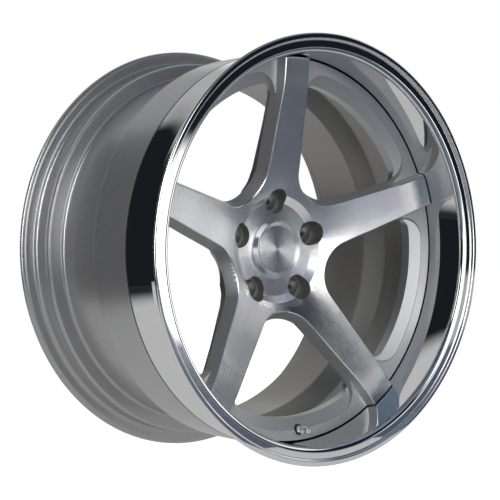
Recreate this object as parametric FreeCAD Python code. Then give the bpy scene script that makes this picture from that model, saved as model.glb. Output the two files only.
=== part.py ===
import FreeCAD, Part
import math
import os

from FreeCAD import Rotation, Vector

# Three-piece forged racing wheel, 18 x 10 inch, five spokes.
# Frame: origin on the axis at the middle of the rim width, axis along Y, outboard side at -Y, +Z up.
# "Depth" below is the distance behind the crest of the outboard flange, growing towards the vehicle.

# ---- Driving dimensions, millimetres and degrees ----
INCH = 25.4
rim_width = 10 * INCH               # between the inside faces of the two flanges
seat_radius = 231.0                 # bead seat at the flange heel, 18 inch rim
flange_height = 17.5                # J flange
crest_offset = 8.3                  # flange crest stands this far outside the flange's inside face
flange_wall = 4.65                  # thickness of a flange and of its knee
hook_width = 7.0                    # the raised ring at the flange's rim
lip_inner_radius = 226.4            # bore of the polished lip
barrel_radius = 231.6               # tyre side of both halves at the seam
well_radius = 212.5                 # bottom of the drop centre
wall = 4.8                          # barrel wall of the inner half
step_wall = 4.3                     # mounting flange of each rim half
step_bore_radius = 200.2            # bore of both mounting flanges

spoke_count = 5
first_spoke_angle = 91.6            # counterclockwise from +X, seen from outboard
spoke_half_width_root = 29.2        # half width of a spoke's face, extended to the axis
spoke_taper = 0.0557                # loss of half width per millimetre of radius
spoke_side_depth = 17.0             # straight side of a spoke before the inset rear part
spoke_inset = 1.0
side_slope_angle = 20.0             # the spokes widen towards the rear
face_depth_at_axis = 101.0          # the spokes' face, taken as a straight cone
face_fall = 0.245                   # its rise towards outboard per millimetre of radius
window_inner_fillet = 41.0
window_outer_radius = 198.3
window_outer_fillet = 15.0
ledge_radius = 213.2
ledge_fillet = 26.0
ring_radius = 225.0                 # outside of the centre
ring_back = 73.5                    # face that bolts to the rim halves
edge_chamfer = 0.7

hub_face = 97.0
hub_face_radius = 55.8
hub_wall_radius = 64.4
hub_wall_top = 90.2
pad_depth = 124.0                   # mounting face towards the vehicle
pad_radius = 76.0
hub_bore_radius = 35.25             # for a 70.5 mm vehicle hub
hub_bore_floor = 108.0
cap_seat_radius = 31.0
lug_circle_radius = 114.3 / 2
lug_pocket_radius = 14.8
lug_pocket_floor = 108.0
lug_seat_radius = 11.0              # mouth of the 60 degree nut seat
lug_hole_radius = 7.4

bolt_count = 40
bolt_circle_radius = 211.0
bolt_radius = 3.0
bolt_washer_radius = 5.6
bolt_washer_thickness = 1.4
bolt_tip = 67.5

valve_radius = 213.0                # distance of the valve stem from the axis
valve_angle = first_spoke_angle + 180.0 + 0.9
valve_base_depth = 95.0
valve_bend_radius = 6.5
valve_tip = 47.6
stem_radius = 4.0
stem_thread_radius = 3.85
stem_passage_radius = 1.25
stem_collar_radius = 5.0
core_chamber_radius = 2.35
valve_recess_radius = 6.6           # counterbore of the ring at the valve
valve_hole_radius = 5.2             # through the ring and the mounting flanges
valve_wall_hole_radius = 5.7        # through the barrel wall
stem_head_radius = 7.4
valve_seal_radius = 7.0
valve_nut_flats = 11.0
valve_cap_radius = 4.7
valve_cap_front = 45.6
valve_cap_floor = 46.8
valve_cap_mouth = 56.2
valve_cap_flutes = 18

cap_front = 89.4                    # crest of the centre cap
cap_face = 92.3
cap_rim_radius = 35.6
cap_disc_radius = 28.0
cap_disc_thickness = 1.45
cap_skirt_radius = 30.7
cap_bore_radius = 26.0
cap_groove_radius = 28.4
cap_groove_start = 100.6
cap_groove_end = 103.5
cap_end = 106.5
o_ring_thickness = 2.5

shelf_end = 143.0                   # inner half: end of the outboard shelf
well_start = 164.0
well_end = 231.5

# ---- Values worked out from them ----
middle_depth = rim_width / 2 + crest_offset
crest_radius = seat_radius + flange_height
seam_depth = ring_back + step_wall
step_back = seam_depth + step_wall
spoke_pitch = 360.0 / spoke_count
first_bolt_angle = valve_angle + 180.0 / bolt_count     # the valve sits midway between two bolts
AXIS = Vector(0, 1, 0)
ORIGIN = Vector(0, 0, 0)
CUT_START = 20.0                    # depth that lies clear of the centre on the outboard side
CUT_END = 160.0                     # and on the vehicle side
WINDOW_START = 44.0                 # in front of the outer end of the spokes

os.makedirs("parts", exist_ok=True)


# ---- Helpers ----
def at(radius, depth):
    """A point of a section, drawn in the XY plane."""
    return Vector(radius, depth - middle_depth, 0)


def spin_point(radius, depth, angle):
    """The point at this radius and depth, at an angle about the axis."""
    turn = math.radians(angle)
    return Vector(radius * math.cos(turn), depth - middle_depth, radius * math.sin(turn))


def rounded_wire(corners):
    """A closed wire through corners (point, fillet radius), fillet 0 for a sharp corner."""
    count = len(corners)
    arrivals = []
    departures = []
    edges = []
    for index, (point, radius) in enumerate(corners):
        back = (corners[index - 1][0] - point).normalize()
        ahead = (corners[(index + 1) % count][0] - point).normalize()
        half_angle = back.getAngle(ahead) / 2
        if radius == 0:
            arrivals.append(point)
            departures.append(point)
            continue
        reach = radius / math.tan(half_angle)
        bisector = (back + ahead).normalize()
        middle = point + bisector * (radius / math.sin(half_angle) - radius)
        start = point + back * reach
        end = point + ahead * reach
        arrivals.append(start)
        departures.append(end)
        edges.append(Part.Arc(start, middle, end).toShape())
    for index in range(count):
        start = departures[index]
        end = arrivals[(index + 1) % count]
        if start.distanceToPoint(end) > 1e-6:
            edges.append(Part.LineSegment(start, end).toShape())
    return Part.Wire(Part.__sortEdges__(edges))


def turned(section):
    """A solid of revolution from corners (radius, depth, fillet)."""
    corners = [(at(radius, depth), fillet) for radius, depth, fillet in section]
    return Part.Face(rounded_wire(corners)).revolve(ORIGIN, AXIS, 360)


def disc(outer, inner, start, end):
    """A plain ring or, with inner 0, a plain cylinder on the wheel's axis."""
    return turned([(inner, start, 0), (outer, start, 0), (outer, end, 0), (inner, end, 0)])


def rod(radius, start, end):
    """A cylinder between two points."""
    return Part.makeCylinder(radius, start.distanceToPoint(end), start, end - start)


def axial_rod(radius, distance, angle, start, end):
    """A cylinder parallel to the wheel's axis between two depths."""
    return rod(radius, spin_point(distance, start, angle), spin_point(distance, end, angle))


def turn_copy(shape, angle):
    """A copy turned about the wheel's axis, counterclockwise seen from outboard."""
    copy = shape.copy()
    copy.rotate(ORIGIN, AXIS, -angle)
    return copy


def around(shape, count, start):
    return [turn_copy(shape, start + index * 360.0 / count) for index in range(count)]


def save(node, shapes):
    solids = [solid for shape in shapes for solid in shape.Solids]
    bad = [solid for solid in solids if not solid.isValid() or solid.Volume <= 0]
    shape = solids[0] if len(solids) == 1 else Part.makeCompound(solids)
    shape.exportStep("parts/" + node + ".step")
    volume = sum(solid.Volume for solid in solids) / 1000
    print(node, len(solids), "solids", round(volume, 3), "cm3", "BAD" if bad else "ok")


# ---- Rim halves ----
def flange_section(face, outward):
    """
    The J flange, from the lip's bore over the crest to the bead seat. face is the depth of the
    flange's inside face, and outward is -1 for the outboard flange and +1 for the other.
    """
    outer_face = face + outward * flange_wall
    hook_top = crest_radius - hook_width
    tip = face + outward * crest_offset
    return [
        (lip_inner_radius, outer_face, 7.0),
        (hook_top, outer_face, 1.9),
        (hook_top, tip, 1.6),
        (crest_radius, tip, 2.4),
        (crest_radius, face, 5.8),
        (seat_radius, face, 6.0),
    ]


def make_outer_half():
    face = crest_offset
    section = flange_section(face, -1) + [
        (seat_radius - 1.3, face + 19.5, 3.0),
        (barrel_radius, face + 25.5, 3.0),
        (barrel_radius, seam_depth - 1.2, 0),
        (barrel_radius - 1.2, seam_depth, 0),
        (step_bore_radius, seam_depth, 0),
        (step_bore_radius, ring_back, 0),
        (lip_inner_radius, ring_back, 1.5),
    ]
    return turned(section)


def make_inner_half():
    face = crest_offset + rim_width
    outside = [
        (step_bore_radius, seam_depth, 0),
        (barrel_radius - 1.2, seam_depth, 0),
        (barrel_radius, seam_depth + 1.2, 0),
        (barrel_radius - 2.0, shelf_end, 4.0),
        (well_radius, well_start, 9.0),
        (well_radius, well_end, 5.0),
        (barrel_radius - 1.6, well_end + 1.6, 2.4),
        (barrel_radius - 0.4, face - 24.5, 3.0),
        (seat_radius - 1.3, face - 18.5, 3.0),
    ]
    flange = [(radius, depth, fillet) for radius, depth, fillet in flange_section(face, 1)]
    flange.reverse()
    inside = [
        (lip_inner_radius, well_end + 8.0, 4.0),
        (well_radius - wall, well_end + 5.5, 7.0),
        (well_radius - wall, well_start - 2.5, 7.0),
        (barrel_radius - 2.0 - wall, shelf_end - 3.0, 6.0),
        (barrel_radius - wall, step_back, 3.0),
        (step_bore_radius, step_back, 0),
    ]
    return turned(outside + flange + inside)


def make_rim_seal():
    return turned([
        (barrel_radius - 1.15, seam_depth, 0),
        (barrel_radius - 0.25, seam_depth - 0.9, 0),
        (barrel_radius - 0.25, seam_depth + 0.9, 0),
    ])


# ---- Wheel centre ----
def window_outline(inset, depth, slope):
    """
    The closed outline, at one depth, of the space between two spokes, centred on +X. inset moves
    its sides into the spokes, and slope is how much they widen per millimetre behind their face.
    """
    half_pitch = math.radians(spoke_pitch / 2)

    def on_side(distance, sign):
        behind_face = depth - (face_depth_at_axis - face_fall * distance)
        offset = spoke_half_width_root - spoke_taper * distance - inset + slope * behind_face
        across = distance * math.sin(half_pitch) - offset * math.cos(half_pitch)
        along = distance * math.cos(half_pitch) + offset * math.sin(half_pitch)
        return Vector(along, depth - middle_depth, sign * across)

    near = on_side(0, 1)
    far = on_side(300, 1)
    share = near.z / (near.z - far.z)
    apex = near + (far - near) * share
    return rounded_wire([
        (apex, window_inner_fillet + inset),
        (far, 0),
        (on_side(300, -1), 0),
    ])


def window_prism(inset, outer_radius, outer_fillet, slope=math.tan(math.radians(side_slope_angle))):
    """The space between two spokes out to outer_radius, with its outer corners rounded."""
    sections = [window_outline(inset, depth, slope) for depth in (WINDOW_START, CUT_END)]
    prism = Part.makeLoft(sections, True, True)
    prism = prism.common(disc(outer_radius, 0, CUT_START, CUT_END))
    if outer_fillet == 0:
        return prism
    corners = []
    for edge in prism.Edges:
        ends = [math.hypot(vertex.X, vertex.Z) for vertex in edge.Vertexes]
        lengthwise = edge.BoundBox.YLength > CUT_END - WINDOW_START - 0.01
        if lengthwise and all(abs(radius - outer_radius) < 0.01 for radius in ends):
            corners.append(edge)
    return prism.makeFillet(outer_fillet, corners)


def spoke_face_curve():
    """The concave front of the spokes, from the hub's wall out to the ring."""
    stations = [(hub_wall_radius, hub_wall_top), (110, 74.6), (150, 64.6), (190, 54.6), (214, 51.2)]
    curve = Part.BSplineCurve()
    curve.interpolate([at(radius, depth) for radius, depth in stations])
    return curve


def centre_blank():
    """The turned blank: hub, spokes and ring as one solid of revolution."""
    curve = spoke_face_curve()
    start = curve.StartPoint
    end = curve.EndPoint
    rest = [
        end,
        at(ring_radius - 0.8, 50.2),
        at(ring_radius, 51.0),
        at(ring_radius, ring_back),
        at(step_bore_radius - 0.3, ring_back),
        at(step_bore_radius - 0.3, 81.0),
        at(150, 94.0),
        at(100, 110.0),
        at(pad_radius + 8, 118.0),
        at(pad_radius, pad_depth),
        at(hub_bore_radius + 1.5, pad_depth),
        at(hub_bore_radius, pad_depth - 1.5),
        at(hub_bore_radius, hub_bore_floor),
        at(cap_seat_radius, hub_bore_floor),
        at(cap_seat_radius, hub_face),
        at(hub_face_radius, hub_face),
        start,
    ]
    edges = [curve.toShape()]
    for one, other in zip(rest, rest[1:]):
        edges.append(Part.LineSegment(one, other).toShape())
    return Part.Face(Part.Wire(edges)).revolve(ORIGIN, AXIS, 360)


def rear_of_spokes():
    """Everything deeper than the spokes' straight sides, to cut their inset rear part."""
    curve = spoke_face_curve()
    curve.translate(Vector(0, spoke_side_depth, 0))
    end = curve.EndPoint
    rest = [
        end,
        at(window_outer_radius + 30, 51.2 + spoke_side_depth),
        at(window_outer_radius + 30, CUT_END),
        at(hub_wall_radius, CUT_END),
        curve.StartPoint,
    ]
    edges = [curve.toShape()]
    for one, other in zip(rest, rest[1:]):
        edges.append(Part.LineSegment(one, other).toShape())
    return Part.Face(Part.Wire(edges)).revolve(ORIGIN, AXIS, 360)


def above_ring():
    """The space in front of the ring between two spokes."""
    return turned([
        (150, CUT_START, 0),
        (ring_radius + 5, CUT_START, 0),
        (ring_radius + 5, 61.1, 0),
        (150, 68.5, 0),
    ])


def above_ledge():
    """The space in front of the sloping ledge around a window's outer end."""
    slope = (69.0 - 63.4) / (ledge_radius - window_outer_radius)
    return turned([
        (150, CUT_START, 0),
        (ledge_radius, CUT_START, 0),
        (ledge_radius, 63.4, 0),
        (150, 63.4 + slope * (ledge_radius - 150), 0),
    ])


def lug_cutter():
    """Pocket, 60 degree seat and hole of one wheel nut, at +X."""
    seat_end = lug_pocket_floor + (lug_seat_radius - lug_hole_radius) / math.tan(math.radians(30))
    pocket = axial_rod(lug_pocket_radius, lug_circle_radius, 0, CUT_START, lug_pocket_floor)
    hole = axial_rod(lug_hole_radius, lug_circle_radius, 0, lug_pocket_floor - 1, CUT_END)
    base = spin_point(lug_circle_radius, lug_pocket_floor, 0)
    cone = Part.makeCone(lug_seat_radius, lug_hole_radius, seat_end - lug_pocket_floor, base, AXIS)
    return pocket.fuse([hole, cone])


def chamfer_front(centre):
    """Break the front edges of the spokes and windows."""
    edges = []
    for edge in centre.Edges:
        if edge.Length < 12:
            continue
        middle = edge.valueAt((edge.FirstParameter + edge.LastParameter) / 2)
        radius = math.hypot(middle.x, middle.z)
        depth = middle.y + middle_depth
        if not hub_wall_radius + 1 < radius < ring_radius - 4:
            continue
        face = spoke_face_curve().parameter(at(radius, depth))
        nearest = spoke_face_curve().value(face)
        if radius > 213.9:
            nearest = at(radius, 51.2)
        if nearest.distanceToPoint(at(radius, depth)) < 0.5:
            edges.append(edge)
    print("edges to chamfer", len(edges))
    return centre.makeChamfer(edge_chamfer, edges)


def make_centre():
    first_window = first_spoke_angle + spoke_pitch / 2
    body = centre_blank()
    window = window_prism(0, window_outer_radius, window_outer_fillet)
    gap = window_prism(0, ring_radius + 5, 0).common(above_ring())
    body = body.cut(around(window.fuse(gap), spoke_count, first_window))
    body = chamfer_front(body)
    rear = window_prism(spoke_inset, window_outer_radius, window_outer_fillet, 0).common(rear_of_spokes())
    ledge = window_prism(-1.5, ledge_radius, ledge_fillet).common(above_ledge())
    cuts = around(rear, spoke_count, first_window) + around(ledge, spoke_count, first_window)
    cuts += around(lug_cutter(), spoke_count, first_spoke_angle)
    relief = axial_rod(8.5, hub_bore_radius + 16.5, 0, 107.0, CUT_END)
    cuts += around(relief, spoke_count, first_window)
    cuts += bolt_holes(bolt_tip - 0.3, ring_back + 1)
    cuts.append(axial_rod(valve_recess_radius, valve_radius, valve_angle, CUT_START, 66.2))
    cuts.append(axial_rod(valve_hole_radius, valve_radius, valve_angle, 60, ring_back + 1))
    return body.cut(cuts)


# ---- Hidden bolts ----
def bolt_angles():
    pitch = 360.0 / bolt_count
    return [first_bolt_angle + pitch * index for index in range(bolt_count)]


def bolt_holes(start, end):
    return [axial_rod(bolt_radius + 0.02, bolt_circle_radius, angle, start, end) for angle in bolt_angles()]


def twelve_point(radius, start, end):
    """A twelve-point head at +X: two hexagons turned by 30 degrees."""
    prisms = []
    for turn in (0, 30):
        middle = spin_point(bolt_circle_radius, start, 0)
        corners = []
        for index in range(6):
            angle = math.radians(turn + 60 * index)
            corners.append(middle + Vector(radius * math.cos(angle), 0, radius * math.sin(angle)))
        prisms.append(Part.Face(Part.makePolygon(corners + corners[:1])).extrude(AXIS * (end - start)))
    return prisms[0].fuse(prisms[1]).removeSplitter()


def make_bolts():
    seat = step_back + bolt_washer_thickness
    shank = axial_rod(bolt_radius, bolt_circle_radius, 0, bolt_tip, seat + 0.5)
    collar = axial_rod(5.2, bolt_circle_radius, 0, seat, seat + 1.6)
    head = twelve_point(4.7, seat + 1.6, seat + 7.0)
    dimple = axial_rod(2.2, bolt_circle_radius, 0, seat + 5.5, seat + 8)
    bolt = shank.fuse([collar, head]).cut(dimple)
    return around(bolt, bolt_count, first_bolt_angle)


def make_washers():
    back = step_back + bolt_washer_thickness
    washer = axial_rod(bolt_washer_radius, bolt_circle_radius, 0, step_back, back)
    hole = axial_rod(bolt_radius + 0.2, bolt_circle_radius, 0, step_back - 1, step_back + 3)
    return around(washer.cut(hole), bolt_count, first_bolt_angle)


# ---- Centre cap ----
def make_cap():
    back = hub_face - 0.05
    disc_seat = cap_face + cap_disc_thickness + 0.05
    return turned([
        (0, disc_seat, 0),
        (cap_disc_radius + 0.1, disc_seat, 0),
        (cap_disc_radius + 0.1, cap_face, 0.3),
        (32.3, cap_front, 0.7),
        (33.0, cap_front, 0.7),
        (cap_rim_radius, hub_face - 1.2, 0.4),
        (cap_rim_radius, back, 0),
        (cap_skirt_radius, back, 0),
        (cap_skirt_radius, cap_groove_start, 0),
        (cap_groove_radius, cap_groove_start, 0),
        (cap_groove_radius, cap_groove_end, 0),
        (cap_skirt_radius, cap_groove_end, 0),
        (cap_skirt_radius - 0.6, cap_end, 0),
        (cap_bore_radius, cap_end, 0),
        (cap_bore_radius, 97.5, 1.5),
        (0, 97.5, 0),
    ])


def make_cap_disc():
    return turned([
        (0, cap_face, 0),
        (cap_disc_radius, cap_face, 0.3),
        (cap_disc_radius, cap_face + cap_disc_thickness, 0),
        (0, cap_face + cap_disc_thickness, 0),
    ])


def make_o_ring():
    centre_radius = cap_seat_radius - 0.02 - o_ring_thickness / 2
    centre = at(0, (cap_groove_start + cap_groove_end) / 2)
    return Part.makeTorus(centre_radius, o_ring_thickness / 2, centre, AXIS)


# ---- Tyre valve ----
def valve_turned(section):
    """A solid of revolution about the valve stem's axis, corners (radius, depth, fillet)."""
    solid = turned(section)
    solid.translate(spin_point(valve_radius, middle_depth, valve_angle))
    return solid


def radial_point(radius, depth):
    return spin_point(radius, depth, valve_angle)


def wall_rod(radius, inner, outer):
    """A cylinder through the barrel wall on the valve's foot, between two distances from the axis."""
    return rod(radius, radial_point(inner, valve_base_depth), radial_point(outer, valve_base_depth))


def stem_path(radius):
    """A round bar of this radius from the barrel wall, round the bend, to the start of the thread."""
    bend_radius = valve_radius + valve_bend_radius
    bend_depth = valve_base_depth - valve_bend_radius
    leg = wall_rod(radius, bend_radius, 234.0)
    centre = radial_point(bend_radius, bend_depth)
    tangent = radial_point(1, middle_depth).cross(AXIS)
    start = radial_point(bend_radius, valve_base_depth)
    circle = Part.Wire(Part.makeCircle(radius, start, radial_point(1, middle_depth)))
    face = Part.Face(circle)
    turn = face.revolve(centre, tangent, 90)
    bend_start = radial_point(valve_radius, bend_depth)
    if turn.BoundBox.Center.distanceToPoint(bend_start) > valve_bend_radius * 1.2:
        turn = face.revolve(centre, tangent, -90)
    run = axial_rod(radius, valve_radius, valve_angle, 62.0, bend_depth)
    return leg.fuse([turn, run])


def make_stem():
    head = wall_rod(stem_head_radius, 232.9, 235.0)
    thread = valve_turned([(0, valve_tip, 0), (stem_thread_radius, valve_tip, 0.5),
                           (stem_thread_radius, 62, 0), (0, 62, 0)])
    collar = valve_turned([(0, 58.5, 0), (stem_collar_radius, 58.5, 0.6),
                           (stem_collar_radius, 62.4, 0), (0, 62.4, 0)])
    mouth = wall_rod(stem_passage_radius, 233, 236)
    passage = stem_path(stem_passage_radius).fuse(mouth)
    chamber = valve_turned([(0, valve_tip - 1, 0), (core_chamber_radius, valve_tip - 1, 0),
                            (core_chamber_radius, 68.5, 0), (0, 71, 0)])
    return stem_path(stem_radius).fuse([head, thread, collar]).cut([passage, chamber])


def make_valve_seal():
    flange = wall_rod(valve_seal_radius, 231.3, 232.9)
    plug = rod(5.6, radial_point(227.0, valve_base_depth), radial_point(231.4, valve_base_depth))
    hole = wall_rod(stem_radius, 220, 240)
    return flange.fuse(plug).cut(hole)


def make_valve_washer():
    washer = wall_rod(valve_seal_radius, 224.2, 225.6)
    return washer.cut(wall_rod(stem_radius, 220, 240))


def make_valve_nut():
    """Hexagon nut on the stem's radial leg."""
    outward = radial_point(1, middle_depth)
    across = outward.cross(AXIS)
    middle = radial_point(220.2, valve_base_depth)
    corner = valve_nut_flats / 2 / math.cos(math.radians(30))
    corners = []
    for index in range(6):
        angle = math.radians(60 * index)
        corners.append(middle + AXIS * (corner * math.cos(angle)) + across * (corner * math.sin(angle)))
    prism = Part.Face(Part.makePolygon(corners + corners[:1])).extrude(outward * 4.0)
    return prism.cut(wall_rod(stem_radius, 219, 230))


def make_grommet():
    return valve_turned([(stem_radius, 64.4, 0), (6.2, 64.4, 0.5), (6.2, 66.1, 0),
                         (5.15, 66.1, 0), (5.15, 73.3, 0), (stem_radius, 73.3, 0)])


def make_core_body():
    return valve_turned([(1.0, 50.6, 0), (2.3, 50.6, 0), (2.3, 57.8, 0), (1.6, 57.8, 0),
                         (1.6, 60.2, 0), (1.9, 60.2, 0), (1.9, 64.0, 0), (0.6, 64.0, 0),
                         (0.6, 63.6, 0), (1.0, 63.6, 0)])


def make_core_gasket():
    return valve_turned([(1.62, 57.9, 0), (2.33, 57.9, 0), (2.33, 60.1, 0), (1.62, 60.1, 0)])


def make_core_pin():
    return valve_turned([(0, 49.2, 0), (0.85, 49.2, 0.2), (0.85, 50.0, 0), (0.5, 50.0, 0),
                         (0.5, 65.1, 0), (1.8, 65.1, 0), (1.8, 66.2, 0), (0, 66.2, 0)])


def make_core_seat():
    return valve_turned([(0.52, 64.05, 0), (1.75, 64.05, 0), (1.75, 65.05, 0), (0.52, 65.05, 0)])


def make_core_spring():
    """Coil spring round the pin."""
    pitch = 1.5
    length = 12.0
    coil_radius = 0.75
    wire_radius = 0.17
    helix = Part.makeHelix(pitch, length, coil_radius)
    start = Vector(coil_radius, 0, 0)
    section = Part.Wire(Part.makeCircle(wire_radius, start, Vector(0, 1, 0)))
    spring = Part.Wire(helix).makePipeShell([section], True, True)
    spring.rotate(ORIGIN, Vector(1, 0, 0), -90)
    spring.translate(spin_point(valve_radius, 51.3, valve_angle))
    return spring


def make_valve_cap():
    """Round metal cap with fine flutes and a bevelled end."""
    bore = stem_thread_radius + 0.1
    body = valve_turned([
        (0, valve_cap_front, 0),
        (valve_cap_radius - 1.3, valve_cap_front, 0.3),
        (valve_cap_radius, valve_cap_front + 1.3, 0.3),
        (valve_cap_radius, valve_cap_mouth, 0.4),
        (bore, valve_cap_mouth, 0),
        (bore, valve_cap_floor, 0),
        (0, valve_cap_floor, 0),
    ])
    flutes = []
    for index in range(valve_cap_flutes):
        angle = math.radians(360.0 / valve_cap_flutes * index)
        base = spin_point(valve_radius, valve_cap_front + 2, valve_angle)
        base = base + Vector(math.cos(angle), 0, math.sin(angle)) * (valve_cap_radius + 0.25)
        flutes.append(Part.makeCylinder(0.45, 7.2, base, AXIS))
    return body.cut(flutes)


def make_cap_seal():
    start = valve_cap_floor + 0.02
    end = valve_tip - 0.02
    return valve_turned([(2.6, start, 0), (3.6, start, 0), (3.6, end, 0), (2.6, end, 0)])


def valve_wall_hole():
    return wall_rod(valve_wall_hole_radius, 215, 240)


def drilled(half):
    """A rim half with the bolt holes and the stem's clearance hole in its mounting flange."""
    holes = bolt_holes(ring_back - 1, step_back + 1)
    holes.append(axial_rod(valve_hole_radius, valve_radius, valve_angle, ring_back - 1, step_back + 1))
    return half.cut(holes)


save("wheel_centre", [make_centre()])
save("outer_rim_half", [drilled(make_outer_half())])
save("inner_rim_half", [drilled(make_inner_half()).cut(valve_wall_hole())])
save("rim_seal", [make_rim_seal()])
save("assembly_bolts", make_bolts())
save("assembly_washers", make_washers())
save("centre_cap", [make_cap()])
save("cap_disc", [make_cap_disc()])
save("cap_o_ring", [make_o_ring()])
save("valve_stem", [make_stem()])
save("valve_seal", [make_valve_seal()])
save("valve_washer", [make_valve_washer()])
save("valve_nut", [make_valve_nut()])
save("valve_grommet", [make_grommet()])
save("valve_core_body", [make_core_body()])
save("valve_core_gasket", [make_core_gasket()])
save("valve_core_pin", [make_core_pin()])
save("valve_core_seat", [make_core_seat()])
save("valve_core_spring", [make_core_spring()])
save("valve_cap", [make_valve_cap()])
save("valve_cap_seal", [make_cap_seal()])
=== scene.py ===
import math

import bpy
from mathutils import Matrix, Vector


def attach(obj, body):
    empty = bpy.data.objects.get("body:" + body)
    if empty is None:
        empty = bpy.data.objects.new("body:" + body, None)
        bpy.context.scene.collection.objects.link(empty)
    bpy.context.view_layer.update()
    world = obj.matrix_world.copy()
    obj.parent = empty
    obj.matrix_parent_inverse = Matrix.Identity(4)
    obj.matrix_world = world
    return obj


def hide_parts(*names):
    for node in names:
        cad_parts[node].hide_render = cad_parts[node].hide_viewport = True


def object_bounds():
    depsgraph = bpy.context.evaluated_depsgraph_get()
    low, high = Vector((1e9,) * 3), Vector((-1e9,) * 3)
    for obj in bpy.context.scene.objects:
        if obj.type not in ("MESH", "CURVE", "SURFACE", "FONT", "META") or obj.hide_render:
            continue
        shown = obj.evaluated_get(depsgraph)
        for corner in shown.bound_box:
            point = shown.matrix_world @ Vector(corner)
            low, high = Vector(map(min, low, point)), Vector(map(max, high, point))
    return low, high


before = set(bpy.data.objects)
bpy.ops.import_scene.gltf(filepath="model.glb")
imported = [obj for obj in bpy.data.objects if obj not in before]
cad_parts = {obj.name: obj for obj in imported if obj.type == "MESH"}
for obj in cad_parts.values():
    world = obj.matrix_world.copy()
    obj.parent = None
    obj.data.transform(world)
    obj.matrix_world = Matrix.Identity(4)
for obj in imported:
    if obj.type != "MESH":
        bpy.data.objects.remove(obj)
cad_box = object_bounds()

# A three-piece racing wheel: axis along Y, show face towards -Y, +Z up, origin in the middle of the rim.
MM = 0.001
RIM_WIDTH = 254.0
SEAT_RADIUS = 231.0
FLANGE_HEIGHT = 17.5
CREST_OFFSET = 8.3
MIDDLE_DEPTH = RIM_WIDTH / 2 + CREST_OFFSET
LIP_BORE = 226.4
FLANGE_WALL = 4.65
BARREL_RADIUS = 231.6
WELL_RADIUS = 212.5
WALL = 4.8
RING_BACK = 73.5
STEP_WALL = 4.3
STEP_BORE = 200.2
SEAM = RING_BACK + STEP_WALL
STEP_BACK = SEAM + STEP_WALL
CREST_RADIUS = SEAT_RADIUS + FLANGE_HEIGHT
HUB_FACE = 97.0
LUG_CIRCLE = 57.15
FIRST_SPOKE = math.radians(91.6)
SPOKE_PITCH = math.tau / 5
POCKET_REACH = 15.0
POCKET_FLOOR = 122.0
SEAT_TOP = 108.2
CAP_SEAT_RADIUS = 35.0
GAP_INNER_RADIUS = 224.4
GAP_START = 61.6
GAP_START_AT_SPOKE = 51.6
SPOKE_END_HALF_ANGLE = math.radians(4.3)
SHELF_END, WELL_START, WELL_END = 143.0, 164.0, 231.5


# ---- Meshes ----
def rounded(corners, step=4.0):
    """Points (radius, depth) round a closed outline of corners (radius, depth, fillet).

    Each fillet becomes an arc with a point every step degrees.
    """
    points = []
    count = len(corners)
    for index, (radius, depth, fillet) in enumerate(corners):
        corner = Vector((radius, depth))
        if fillet == 0:
            points.append(corner)
            continue
        back = (Vector(corners[index - 1][:2]) - corner).normalized()
        ahead = (Vector(corners[(index + 1) % count][:2]) - corner).normalized()
        half = back.angle(ahead) / 2
        centre = corner + (back + ahead).normalized() * (fillet / math.sin(half))
        start = corner + back * (fillet / math.tan(half)) - centre
        sweep = math.pi - 2 * half
        if start.x * back.y - start.y * back.x > 0:
            sweep = -sweep
        pieces = max(2, math.ceil(abs(math.degrees(sweep)) / step))
        for piece in range(pieces + 1):
            turn = sweep * piece / pieces
            points.append(centre + Vector((
                start.x * math.cos(turn) - start.y * math.sin(turn),
                start.x * math.sin(turn) + start.y * math.cos(turn))))
    return points


def lathe(name, corners, segments=288, step=4.0, sharp=24.0):
    """A solid turned about the wheel's axis from a closed outline in millimetres."""
    outline = rounded(corners, step)
    vertices = []
    for index in range(segments):
        angle = math.tau * index / segments
        for point in outline:
            vertices.append((point.x * MM * math.cos(angle), (point.y - MIDDLE_DEPTH) * MM,
                             point.x * MM * math.sin(angle)))
    count = len(outline)
    faces = []
    for index in range(segments):
        after = (index + 1) % segments
        for place in range(count):
            other = (place + 1) % count
            faces.append((index * count + place, index * count + other,
                          after * count + other, after * count + place))
    mesh = bpy.data.meshes.new(name)
    mesh.from_pydata(vertices, [], faces)
    mesh.validate()
    mesh.shade_smooth()
    mesh.set_sharp_from_angle(angle=math.radians(sharp))
    piece = bpy.data.objects.new(name, mesh)
    bpy.context.scene.collection.objects.link(piece)
    return piece


def flange_section(face, outward):
    """Corners of a rim flange whose tyre side is at depth face; outward is -1 outboard and 1 inboard."""
    hook = CREST_RADIUS - 7.0
    tip = face + outward * CREST_OFFSET
    outer_face = face + outward * FLANGE_WALL
    return [
        (LIP_BORE, outer_face, 7.0),
        (hook, outer_face, 1.9),
        (hook, tip, 1.6),
        (CREST_RADIUS, tip, 2.4),
        (CREST_RADIUS, face, 5.8),
        (SEAT_RADIUS, face, 6.0),
    ]


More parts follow.
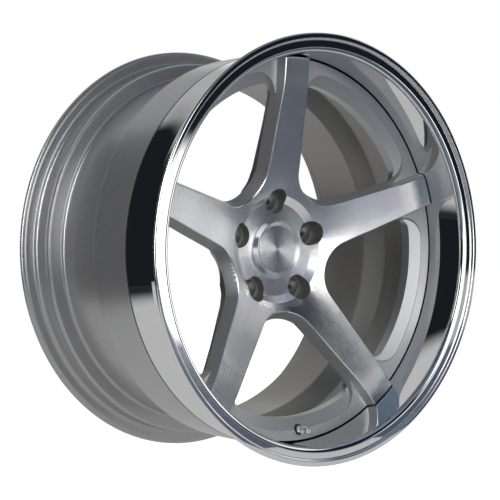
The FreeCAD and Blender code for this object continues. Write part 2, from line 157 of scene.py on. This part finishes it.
# ---- Materials ----
class Shader:
    """A material with one Principled shader and short ways to add nodes to it."""

    def __init__(self, name, **values):
        self.material = bpy.data.materials.new(name)
        self.material.use_nodes = True
        self.nodes = self.material.node_tree.nodes
        self.links = self.material.node_tree.links
        self.surface = self.nodes["Principled BSDF"]
        for socket, value in values.items():
            self.surface.inputs[socket.replace("_", " ")].default_value = value

    def add(self, kind, settings=(), **inputs):
        node = self.nodes.new("ShaderNode" + kind)
        for key, value in settings:
            setattr(node, key, value)
        for key, value in inputs.items():
            socket = node.inputs[int(key[1:])] if key[0] == "i" and key[1:].isdigit() else node.inputs[key]
            if isinstance(value, bpy.types.NodeSocket):
                self.links.new(value, socket)
            else:
                socket.default_value = value
        return node

    def math(self, operation, one, other=0.0, third=0.0):
        node = self.add("Math", [("operation", operation)], i0=one, i1=other, i2=third)
        return node.outputs[0]

    def ramp(self, factor, stops):
        node = self.add("ValToRGB", i0=factor)
        elements = node.color_ramp.elements
        while len(elements) < len(stops):
            elements.new(0.5)
        for element, (place, colour) in zip(elements, stops):
            element.position = place
            element.color = (*colour, 1.0) if isinstance(colour, tuple) else (colour, colour, colour, 1.0)
        return node.outputs["Color"]

    def position(self):
        """Object space radius about the axis, angle and depth along it."""
        place = self.add("TexCoord").outputs["Object"]
        split = self.add("SeparateXYZ", i0=place)
        x, y, z = split.outputs
        radius = self.math("SQRT", self.math("ADD", self.math("MULTIPLY", x, x), self.math("MULTIPLY", z, z)))
        angle = self.math("ARCTAN2", z, x)
        return place, radius, angle, y

    def vector(self, x, y, z):
        return self.add("CombineXYZ", i0=x, i1=y, i2=z).outputs[0]

    def noise(self, vector, scale, detail=2.0, roughness=0.5):
        node = self.add("TexNoise", Vector=vector, Scale=scale, Detail=detail, Roughness=roughness)
        return node.outputs["Fac"]

    def bump(self, height, distance, strength=1.0):
        node = self.add("Bump", Height=height, Distance=distance, Strength=strength)
        self.links.new(node.outputs[0], self.surface.inputs["Normal"])
        return node

    def colour(self, socket):
        self.links.new(socket, self.surface.inputs["Base Color"])

    def roughness(self, factor, low, high):
        node = self.add("MapRange", i0=factor, i1=0.3, i2=0.7, i3=low, i4=high)
        self.links.new(node.outputs[0], self.surface.inputs["Roughness"])


def turned_metal(name, colour, rough, spread, painted_sheen_amount, lines=60000.0):
    """Metal turned on a lathe: grooves about the wheel's axis tilt the surface in and out by spread."""
    shader = Shader(name, Metallic=1.0, Anisotropic=0.6, Anisotropic_Rotation=0.25)
    place, radius, angle = shader.position()[:3]
    groove = shader.noise(shader.vector(shader.math("MULTIPLY", radius, lines), 0.0, 0.0), 1.0, 1.0, 0.5)
    patch = shader.noise(place, 14.0, 3.0)
    mottle = shader.math("ADD", shader.math("MULTIPLY", groove, 0.5), shader.math("MULTIPLY", patch, 0.5))
    metal = shader.ramp(mottle, [(0.3, tuple(0.93 * c for c in colour)), (0.7, colour)])
    # A pastel rainbow tint multiplied into the colour in patches: a painted diffraction sheen, fixed to the
    # surface instead of following the light.
    drift = shader.math("ADD", shader.math("MULTIPLY", radius, 11.0), shader.math("MULTIPLY", angle, 1.6))
    band = shader.math("FRACT", shader.math("ADD", drift, shader.math("MULTIPLY", patch, 0.9)))
    painted_rainbow_sheen = shader.ramp(band, [(0.0, (1.0, 0.94, 0.97)), (0.2, (1.0, 0.99, 0.93)),
                                 (0.4, (0.94, 1.0, 0.96)), (0.65, (0.91, 0.96, 1.0)),
                                 (0.85, (0.96, 0.93, 1.0)), (1.0, (1.0, 0.94, 0.97))])
    tint = shader.add("Mix", [("data_type", "RGBA"), ("blend_type", "MULTIPLY")])
    patchy = shader.noise(place, 7.0, 1.0)
    local = shader.add("MapRange", i0=patchy, i1=0.45, i2=0.62,
                       i3=0.15 * painted_sheen_amount, i4=painted_sheen_amount)
    shader.links.new(local.outputs[0], tint.inputs[0])
    shader.links.new(metal, tint.inputs[6])
    shader.links.new(painted_rainbow_sheen, tint.inputs[7])
    shader.colour(tint.outputs[2])
    shader.roughness(patch, rough * 0.9, rough * 1.1)
    tilt = shader.math("MULTIPLY", shader.math("SUBTRACT", groove, 0.5), spread)
    split = shader.add("SeparateXYZ", i0=place)
    outward = shader.add("VectorMath", [("operation", "NORMALIZE")],
                         i0=shader.vector(split.outputs[0], 0.0, split.outputs[2])).outputs[0]
    lean = shader.add("VectorMath", [("operation", "SCALE")], i0=outward, Scale=tilt).outputs[0]
    normal = shader.add("NewGeometry").outputs["Normal"]
    leaning = shader.add("VectorMath", [("operation", "ADD")], i0=normal, i1=lean).outputs[0]
    facing = shader.add("VectorMath", [("operation", "NORMALIZE")], i0=leaning).outputs[0]
    shader.links.new(facing, shader.surface.inputs["Normal"])
    tangent = shader.add("Tangent", [("direction_type", "RADIAL"), ("axis", "Y")])
    shader.links.new(tangent.outputs[0], shader.surface.inputs["Tangent"])
    return shader.material


def silver_paint(name, colour, flake=0.05, rough=0.34, metallic=0.55):
    shader = Shader(name, Metallic=metallic, Coat_Weight=0.6, Coat_Roughness=0.12)
    place = shader.add("TexCoord").outputs["Object"]
    grain = shader.noise(place, 2600.0, 1.0)
    cloud = shader.noise(place, 9.0, 3.0)
    mix = shader.math("ADD", shader.math("MULTIPLY", grain, 0.7), shader.math("MULTIPLY", cloud, 0.3))
    shader.colour(shader.ramp(mix, [(0.35, tuple((1 - flake * 2) * c for c in colour)),
                                    (0.65, tuple(min(1.0, (1 + flake) * c) for c in colour))]))
    shader.roughness(grain, rough * 0.85, rough * 1.1)
    shader.bump(grain, 0.00002)
    return shader.material


def mirror_metal(name, colour, rough=0.03):
    shader = Shader(name, Metallic=1.0)
    position = shader.position()
    place, angle, depth_along = position[0], position[2], position[3]
    haze = shader.noise(place, 22.0, 4.0, 0.6)
    shader.colour(shader.ramp(haze, [(0.3, tuple(0.97 * c for c in colour)), (0.7, colour)]))
    shader.roughness(haze, rough * 0.6, rough * 1.4)
    ripple = shader.noise(shader.vector(shader.math("MULTIPLY", depth_along, 60.0), angle, 0.0), 2.0, 2.0)
    shader.bump(ripple, 0.00001)
    return shader.material


def plain(name, colour, metallic=0.0, rough=0.5, grain=600.0, spread=0.12):
    shader = Shader(name, Metallic=metallic)
    place = shader.add("TexCoord").outputs["Object"]
    speck = shader.noise(place, grain, 4.0)
    shader.colour(shader.ramp(speck, [(0.3, tuple((1 - spread) * c for c in colour)),
                                      (0.7, tuple(min(1.0, (1 + spread) * c) for c in colour))]))
    shader.roughness(speck, rough * 0.8, rough * 1.2)
    shader.bump(speck, 0.00003)
    return shader.material


# The last number given to turned_metal is the strength of its painted rainbow sheen.
turned = turned_metal("turned_face", (0.86, 0.87, 0.90), 0.17, 2.0, 0.8)
cap_turned = turned_metal("cap_turned", (0.80, 0.81, 0.84), 0.34, 1.6, 0.0)
disc_turned = turned_metal("disc_spun", (0.80, 0.81, 0.84), 0.16, 2.2, 0.1)
ring_paint = silver_paint("ring_paint", (0.52, 0.52, 0.53))
barrel_paint = silver_paint("barrel_paint", (0.47, 0.47, 0.475), 0.05, 0.3, 0.7)
inside_paint = silver_paint("inside_paint", (0.50, 0.49, 0.46), 0.04, 0.42, 0.4)
mirror = mirror_metal("polished_lip", (0.93, 0.93, 0.94))
pocket = plain("lug_pocket", (0.34, 0.34, 0.32), 0.7, 0.38)
# Chamfers get a brighter, shinier paint than the turned metal so that they show as thin light rings: a painted
# highlight.
chamfer_highlight_paint = silver_paint("chamfer_painted_highlight", (0.95, 0.95, 0.96), 0.02, 0.22, 0.9)
seat = plain("lug_seat", (0.5, 0.5, 0.5), 1.0, 0.35)
sealant = plain("sealant", (0.02, 0.012, 0.01), 0.0, 0.6)
rubber = plain("rubber", (0.025, 0.025, 0.025), 0.0, 0.6)
chrome = plain("chrome", (0.9, 0.9, 0.9), 1.0, 0.08, 80.0, 0.03)
brass = plain("brass", (0.8, 0.6, 0.28), 1.0, 0.25)
steel = plain("zinc_steel", (0.6, 0.59, 0.56), 1.0, 0.3)
# Painted shade: a near-black material on the faces inside the narrow gap between the centre and the lip, where
# shade falls.
gap_shade = plain("gap_shadow", (0.012, 0.012, 0.013), 0.0, 0.7, 900.0, 0.3)
gasket = plain("gasket", (0.5, 0.05, 0.04), 0.0, 0.6)


def dress(node, material):
    """Gives one of the CAD's nodes this material only."""
    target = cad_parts[node]
    target.data.materials.clear()
    target.data.materials.append(material)


for node, material in {
        "assembly_bolts": steel, "assembly_washers": steel, "centre_cap": cap_turned,
        "cap_disc": disc_turned, "cap_o_ring": rubber, "valve_stem": chrome, "valve_seal": rubber,
        "valve_washer": chrome, "valve_nut": chrome, "valve_grommet": rubber, "valve_core_body": brass,
        "valve_core_gasket": gasket, "valve_core_pin": brass, "valve_core_seat": rubber,
        "valve_core_spring": steel, "valve_cap": chrome, "valve_cap_seal": rubber}.items():
    dress(node, material)

# (radius, depth) along the turned front, from the hub out to the lip
SPOKE_FACE = [(55.8, HUB_FACE), (64.4, 90.2), (87.0, 81.9), (110.0, 74.6), (130.0, 69.4), (150.0, 64.6),
              (170.0, 59.4), (190.0, 54.6), (202.0, 52.4), (214.0, 51.2), (224.2, 50.2), (226.0, 50.2)]


def face_depth(radius):
    """Depth of the centre's turned front at this radius."""
    if radius <= SPOKE_FACE[0][0]:
        return HUB_FACE
    for (near, start), (far, end) in zip(SPOKE_FACE, SPOKE_FACE[1:]):
        if radius <= far:
            return start + (end - start) * (radius - near) / (far - near)
    return SPOKE_FACE[-1][1]


def centre_finish(middle, normal):
    """0 turned front, 1 silver paint, 2 lug pocket, 3 near-black painted shade in the gap, 4 lug seat, 5
    chamfer with a painted highlight.
    """
    radius = math.hypot(middle.x, middle.z) / MM
    depth = middle.y / MM + MIDDLE_DEPTH
    for index in range(5):
        angle = FIRST_SPOKE + index * SPOKE_PITCH
        away = math.hypot(middle.x / MM - LUG_CIRCLE * math.cos(angle),
                          middle.z / MM - LUG_CIRCLE * math.sin(angle))
        if away < POCKET_REACH and face_depth(radius) + 0.6 < depth < POCKET_FLOOR:
            return 4 if depth > SEAT_TOP and 0.2 < abs(normal.y) < 0.9 else 2
    # Faces deep in the gap between the centre and the lip get the near-black material: painted shade.
    if radius > GAP_INNER_RADIUS and depth > GAP_START + 0.4:
        return 3
    if radius < CAP_SEAT_RADIUS and depth > HUB_FACE + 0.5:
        return 1
    near_face = abs(depth - face_depth(radius)) < 1.6
    if near_face and normal.y < -0.93:
        return 0
    # Chamfer faces: the brighter paint here is a painted highlight.
    if near_face and -0.93 <= normal.y < -0.45:
        return 5
    return 1


def make_wheel_centre():
    """The CAD's wheel centre, with a finish for each of its faces."""
    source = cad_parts["wheel_centre"]
    piece = bpy.data.objects.new("centre_finished", source.data.copy())
    bpy.context.scene.collection.objects.link(piece)
    piece.data.materials.clear()
    for material in (turned, ring_paint, pocket, gap_shade, seat, chamfer_highlight_paint):
        piece.data.materials.append(material)
    for polygon in piece.data.polygons:
        polygon.material_index = centre_finish(polygon.center, polygon.normal)
    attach(piece, "wheel")
    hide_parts("wheel_centre")


make_wheel_centre()

face = CREST_OFFSET
outer = lathe("outer_half", flange_section(face, -1) + [
    (SEAT_RADIUS - 1.3, face + 19.5, 3.0),
    (BARREL_RADIUS, face + 25.5, 3.0),
    (BARREL_RADIUS, SEAM - 1.2, 0),
    (BARREL_RADIUS - 1.2, SEAM, 0),
    (STEP_BORE, SEAM, 0),
    (STEP_BORE, RING_BACK, 0),
    (LIP_BORE, RING_BACK, 1.5),
    (LIP_BORE, GAP_START, 0),
    (LIP_BORE, GAP_START_AT_SPOKE, 0),
])
outer.data.materials.append(mirror)
outer.data.materials.append(gap_shade)
# Faces of the lip bore deep inside the gap get the near-black material: painted shade.
for polygon in outer.data.polygons:
    place = polygon.center
    depth = place.y / MM + MIDDLE_DEPTH
    turn = (math.atan2(place.z, place.x) - FIRST_SPOKE + SPOKE_PITCH / 2) % SPOKE_PITCH - SPOKE_PITCH / 2
    hidden = GAP_START_AT_SPOKE if abs(turn) < SPOKE_END_HALF_ANGLE else GAP_START
    if math.hypot(place.x, place.z) < (LIP_BORE + 0.5) * MM and depth > hidden:
        polygon.material_index = 1
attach(outer, "wheel")
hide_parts("outer_rim_half")

seal = lathe("seal_ring", [
    (BARREL_RADIUS - 1.15, SEAM, 0),
    (BARREL_RADIUS - 0.1, SEAM - 1.05, 0),
    (BARREL_RADIUS - 0.1, SEAM + 1.05, 0),
])
seal.data.materials.append(sealant)
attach(seal, "wheel")
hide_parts("rim_seal")

face = CREST_OFFSET + RIM_WIDTH
inner = lathe("inner_half", [
    (STEP_BORE, SEAM, 0),
    (BARREL_RADIUS - 1.2, SEAM, 0),
    (BARREL_RADIUS, SEAM + 1.2, 0),
    (BARREL_RADIUS - 2.0, SHELF_END, 4.0),
    (WELL_RADIUS, WELL_START, 9.0),
    (WELL_RADIUS, WELL_END, 5.0),
    (BARREL_RADIUS - 1.6, WELL_END + 1.6, 2.4),
    (BARREL_RADIUS - 0.4, face - 24.5, 3.0),
    (SEAT_RADIUS - 1.3, face - 18.5, 3.0),
] + list(reversed(flange_section(face, 1))) + [
    (LIP_BORE, WELL_END + 8.0, 4.0),
    (WELL_RADIUS - WALL, WELL_END + 5.5, 7.0),
    (WELL_RADIUS - WALL, WELL_START - 2.5, 7.0),
    (BARREL_RADIUS - 2.0 - WALL, SHELF_END - 3.0, 6.0),
    (BARREL_RADIUS - WALL, STEP_BACK, 3.0),
    (STEP_BORE, STEP_BACK, 0),
])
inner.data.materials.append(barrel_paint)
inner.data.materials.append(inside_paint)
for polygon in inner.data.polygons:
    place, normal = polygon.center, polygon.normal
    if place.x * normal.x + place.z * normal.z < 0 and math.hypot(place.x, place.z) < (LIP_BORE + 3) * MM:
        polygon.material_index = 1
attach(inner, "wheel")
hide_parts("inner_rim_half")


# ---- Stage, lights, camera ----
def softbox(name, azimuth, elevation, wide, tall, radiance, colour=(1.0, 1.0, 1.0), soft=0.16):
    """A rectangular light facing the wheel.

    Angles are in degrees, azimuth counterclockwise from +X seen from above. soft is the part of its
    width and height over which it fades in from each edge.
    """
    distance = 2.6
    turn, rise = math.radians(azimuth), math.radians(elevation)
    light = bpy.data.lights.new(name, "AREA")
    light.shape = "RECTANGLE"
    light.size = 2 * distance * math.tan(math.radians(wide / 2)) / (1 - soft)
    light.size_y = 2 * distance * math.tan(math.radians(tall / 2)) / (1 - soft)
    light.energy = radiance * math.pi * light.size * light.size_y
    light.color = colour
    light.use_nodes = True
    nodes, links = light.node_tree.nodes, light.node_tree.links
    split = nodes.new("ShaderNodeSeparateXYZ")
    links.new(nodes.new("ShaderNodeNewGeometry").outputs["Parametric"], split.inputs[0])
    both = nodes.new("ShaderNodeMath")
    both.operation = "MULTIPLY"
    for index in range(2):
        edge_distance = nodes.new("ShaderNodeMath")
        edge_distance.operation = "PINGPONG"
        links.new(split.outputs[index], edge_distance.inputs[0])
        edge_distance.inputs[1].default_value = 0.5
        fade = nodes.new("ShaderNodeMapRange")
        fade.interpolation_type = "SMOOTHSTEP"
        links.new(edge_distance.outputs[0], fade.inputs[0])
        fade.inputs[2].default_value = soft
        links.new(fade.outputs[0], both.inputs[index])
    links.new(both.outputs[0], nodes["Emission"].inputs["Strength"])
    lamp = bpy.data.objects.new(name, light)
    toward = Vector((math.cos(turn) * math.cos(rise), math.sin(turn) * math.cos(rise), math.sin(rise)))
    lamp.location = toward * distance
    lamp.rotation_euler = toward.to_track_quat("Z", "Y").to_euler()
    lamp.visible_camera = False
    bpy.context.scene.collection.objects.link(lamp)


softbox("left_strip", 174, 18, 9, 52, 9.0, soft=0.3)
softbox("left_front", 203, 22, 10, 26, 2.2)
softbox("front", 262, 6.5, 46, 42, 2.6)
softbox("front_slot", 301, 0, 12, 10, 1.5)
softbox("front_right", 335, 25, 20, 22, 0.9)
softbox("right_low", 345, 4, 22, 22, 1.7, soft=0.3)
softbox("front_low", 315, -3.4, 40, 3.6, 0.4)
softbox("right_rear", 25, 20, 60, 46, 0.5)
softbox("rear", 77, 30, 40, 26, 0.4)
softbox("rear_top", 85, 56, 80, 26, 0.5)
softbox("front_top", 300, 58, 110, 34, 0.28, (0.55, 0.74, 1.0))

# The room is white to the camera and nearly black to the metal.
world = bpy.data.worlds.new("studio")
bpy.context.scene.world = world
world.use_nodes = True
tree = world.node_tree
tree.nodes.clear()
out = tree.nodes.new("ShaderNodeOutputWorld")
mixer = tree.nodes.new("ShaderNodeMixShader")
path = tree.nodes.new("ShaderNodeLightPath")
seen = tree.nodes.new("ShaderNodeBackground")
seen.inputs[0].default_value = (1, 1, 1, 1)
seen.inputs[1].default_value = 1.0
dim = tree.nodes.new("ShaderNodeBackground")
dim.inputs[0].default_value = (0.010, 0.011, 0.014, 1)
tree.links.new(path.outputs["Is Camera Ray"], mixer.inputs[0])
tree.links.new(dim.outputs[0], mixer.inputs[1])
tree.links.new(seen.outputs[0], mixer.inputs[2])
tree.links.new(mixer.outputs[0], out.inputs[0])


def flat_piece(name, corners, depth, material):
    """A level sheet with these (x, y) corners, depth below the wheel's lowest point."""
    mesh = bpy.data.meshes.new(name)
    mesh.from_pydata([(x, y, cad_box[0][2] - depth) for x, y in corners], [], [range(len(corners))])
    piece = bpy.data.objects.new(name, mesh)
    bpy.context.scene.collection.objects.link(piece)
    piece.data.materials.append(material)
    return piece


def sheet_blue():
    """Glows dark blue."""
    material = plain("sheet_blue", (0.02, 0.02, 0.02), 0.0, 0.6, 30.0, 0.02)
    surface = material.node_tree.nodes["Principled BSDF"]
    surface.inputs["Emission Color"].default_value = (0.06, 0.075, 0.11, 1.0)
    surface.inputs["Emission Strength"].default_value = 1.0
    return material


def floor_finish():
    """White; its glow is dimmer under the wheel, a painted shade that lets the cast contact shadow show."""
    shader = Shader("floor_white", Base_Color=(0.8, 0.8, 0.8, 1.0), Roughness=0.6)
    shader.surface.inputs["Emission Color"].default_value = (1, 1, 1, 1)
    place = shader.add("TexCoord").outputs["Object"]
    away = shader.add("VectorMath", [("operation", "LENGTH")], i0=place).outputs["Value"]
    # Painted shade: the glow falls from 1.02 far out to 0.86 under the wheel.
    glow = shader.add("MapRange", i0=away, i1=0.28, i2=0.62, i3=0.86, i4=1.02).outputs[0]
    fleck = shader.noise(place, 40.0, 3.0)
    shader.links.new(shader.math("ADD", glow, shader.math("MULTIPLY", fleck, 0.01)),
                     shader.surface.inputs["Emission Strength"])
    return shader.material


def sheet_finish():
    """Glows evenly and fades out along a slanting line behind the wheel."""
    shader = Shader("sheet_white", Base_Color=(0.1, 0.1, 0.1, 1.0), Roughness=0.6)
    shader.surface.inputs["Emission Color"].default_value = (1, 1, 1, 1)
    x, y, z = shader.add("SeparateXYZ", i0=shader.add("TexCoord").outputs["Object"]).outputs
    back = shader.math("SUBTRACT", y, shader.math("MULTIPLY", x, 0.6))
    fade = shader.add("MapRange", i0=back, i1=0.95, i2=0.62, i3=0.0, i4=0.46)
    fade.interpolation_type = "SMOOTHSTEP"
    shader.links.new(fade.outputs[0], shader.surface.inputs["Emission Strength"])
    return shader.material


# The floor is seen white. The sheets under it are what the metal mirrors: a light one under the
# wheel, which fades out behind it, and a dark blue one in front.
floor = flat_piece("floor", [(-8, -8), (8, -8), (8, 8), (-8, 8)], 0.0005, floor_finish())
floor.visible_glossy = False
floor.visible_diffuse = False
SHEET_DEPTH = 0.0015
SHEET_MEET = -0.34
sheet = flat_piece("floor_sheet", [(-1.0, SHEET_MEET), (1.4, SHEET_MEET), (1.4, 1.7), (0.9, 1.7), (-1.0, 0.5)],
                   SHEET_DEPTH, sheet_finish())
sheet.visible_camera = False
front_sheet = flat_piece("front_sheet", [(-2.2, -2.4), (2.2, -2.4), (2.2, SHEET_MEET), (-2.2, SHEET_MEET)],
                         SHEET_DEPTH, sheet_blue())
front_sheet.visible_camera = False

camera_data = bpy.data.cameras.new("camera")
camera_data.lens = 116.25
camera_data.sensor_width = 36.0
camera = bpy.data.objects.new("camera", camera_data)
front_y = -MIDDLE_DEPTH * MM
camera.location = (-1.2546, front_y - 1.3663, 0.0119)
ahead = Vector((0.6390, 0.7692, -0.0068)).normalized()
right = ahead.cross(Vector((0.0, 0.0089, 1.0))).normalized()
camera.rotation_euler = Matrix((right, right.cross(ahead), -ahead)).transposed().to_euler()
bpy.context.scene.collection.objects.link(camera)
bpy.context.scene.camera = camera
bpy.context.scene.view_settings.view_transform = "Standard"
